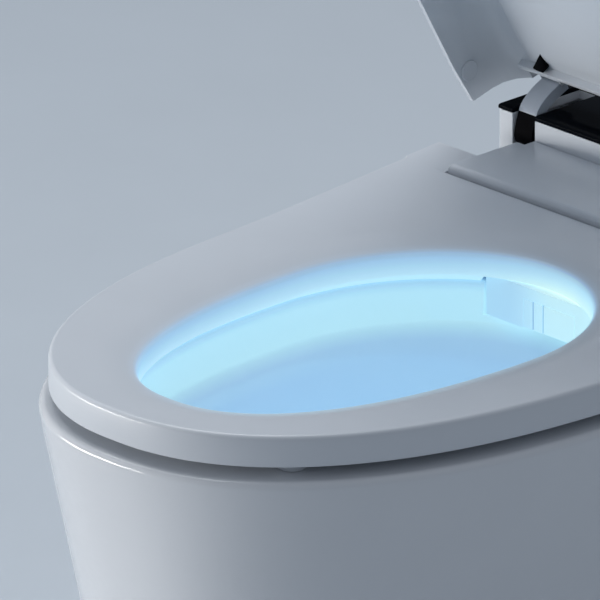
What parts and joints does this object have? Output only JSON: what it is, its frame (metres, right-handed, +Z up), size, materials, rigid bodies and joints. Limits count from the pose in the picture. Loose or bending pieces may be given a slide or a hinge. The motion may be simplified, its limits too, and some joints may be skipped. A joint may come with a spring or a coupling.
{
  "type": "bidet toilet",
  "caption": "Floor-standing tankless bidet toilet with a skirted bowl, heated seat, deep lid on goosenecks, glass-topped rear unit, wash wands and a night light.",
  "frame": {"origin": "centre of the footprint on the floor", "axes": "+Z up, -Y the front of the bowl, +Y the wall, X across"},
  "size_m": [0.412, 0.676, 0.8924],
  "materials": {
    "glazed_ceramic": "white glaze, glossy",
    "white_gloss": "moulded white plastic, satin gloss",
    "white_satin": "moulded white plastic, satin",
    "black_glass": "black printed glass, polished",
    "black_plastic": "black plastic, fine grain",
    "grey_arm": "pale grey paint, satin",
    "rubber": "pale grey rubber",
    "steel": "brushed",
    "metal_block": "cast",
    "brass": "machined",
    "grey_plastic": "moulded grey plastic",
    "circuit_board": "solder mask",
    "heater_foil": "foil",
    "light_lens": "frosted lens, lit pale blue",
    "chrome": "polished"
  },
  "bodies": {
    "pedestal": {"access_caps": "white_gloss", "air_intake_duct": "grey_plastic", "cable_gland": "black_plastic", "ceramic_pedestal": "glazed_ceramic", "chassis_screws": "steel", "chassis_tray": "white_satin", "control_board": "circuit_board", "deodoriser_housing": "black_plastic", "deodoriser_motor": "steel", "display_board": "circuit_board", "dryer_duct": "grey_plastic", "dryer_housing": "black_plastic", "dryer_motor": "steel", "filter_cartridge": "black_plastic", "flush_valves": "grey_plastic", "front_cover": "white_gloss", "glass_top_panel": "black_glass", "hinge_bearings": "metal_block", "knob_base": "white_satin", "lid_drive_motor": "metal_block", "night_light_lens": "light_lens", "nozzle_guide": "white_satin", "nozzle_motors": "steel", "outlet_seal": "rubber", "power_supply": "black_plastic", "rear_housing": "white_gloss", "seat_hinge_pins": "steel", "water_heater": "metal_block", "water_inlet": "brass", "water_pump": "metal_block"},
    "seat": {"seat_upper_shell": "white_gloss", "seat_lower_shell": "white_satin", "seat_heater": "heater_foil", "seat_bumpers": "rubber"},
    "hinge_shaft": {"lid_drive_shaft": "steel", "lid_balance_spring": "steel"},
    "lid": {"lid_outer_shell": "white_gloss", "lid_inner_liner": "white_satin", "lid_bumpers": "rubber", "lid_arm_left": "grey_arm", "lid_arm_right": "grey_arm", "neck_bracket_left": "black_plastic", "neck_bracket_right": "black_plastic"},
    "rear_wand": {"rear_wash_wand": "steel"},
    "front_wand": {"front_wash_wand": "steel"},
    "dryer_wheel": {"dryer_impeller": "grey_plastic"},
    "deodoriser_wheel": {"deodoriser_impeller": "grey_plastic"},
    "dial": {"knob_dial": "white_satin"},
    "button": {"knob_button": "chrome"}
  },
  "joints": [
    {"name": "seat_hinge", "type": "hinge", "parent": "pedestal", "child": "seat", "pos_m": [0, 0.133, 0.4155], "axis": [1, 0, 0], "range_deg": [-95, 0]},
    {"name": "lid_drive", "type": "hinge", "parent": "pedestal", "child": "hinge_shaft", "pos_m": [0, 0.2123, 0.4227], "axis": [1, 0, 0], "range_deg": [-43, 0]},
    {"name": "lid_hinge", "type": "hinge", "parent": "hinge_shaft", "child": "lid", "pos_m": [0, 0.2123, 0.4227], "axis": [1, 0, 0], "range_deg": [0, 57]},
    {"name": "rear_wash_slide", "type": "slide", "parent": "pedestal", "child": "rear_wand", "axis": [0, -0.9659, -0.2588], "range_m": [0, 0.1]},
    {"name": "front_wash_slide", "type": "slide", "parent": "pedestal", "child": "front_wand", "axis": [0, -0.9659, -0.2588], "range_m": [0, 0.1]},
    {"name": "dryer_spin", "type": "hinge", "parent": "pedestal", "child": "dryer_wheel", "pos_m": [0.088, 0.254, 0.318], "axis": [0, 0, 1], "continuous": true},
    {"name": "deodoriser_spin", "type": "hinge", "parent": "pedestal", "child": "deodoriser_wheel", "pos_m": [-0.092, 0.254, 0.316], "axis": [0, 0, 1], "continuous": true},
    {"name": "dial_turn", "type": "hinge", "parent": "pedestal", "child": "dial", "pos_m": [-0.19, 0.286, 0.4175], "axis": [-1, 0, 0], "range_deg": [-140, 140]},
    {"name": "button_press", "type": "slide", "parent": "pedestal", "child": "button", "axis": [1, 0, 0], "range_m": [0, 0.0025], "stiffness_N_per_m": 600}
  ],
  "couplings": [
    {"joint": "lid_drive", "follows": "seat_hinge", "ratio": 0.4526}
  ]
}
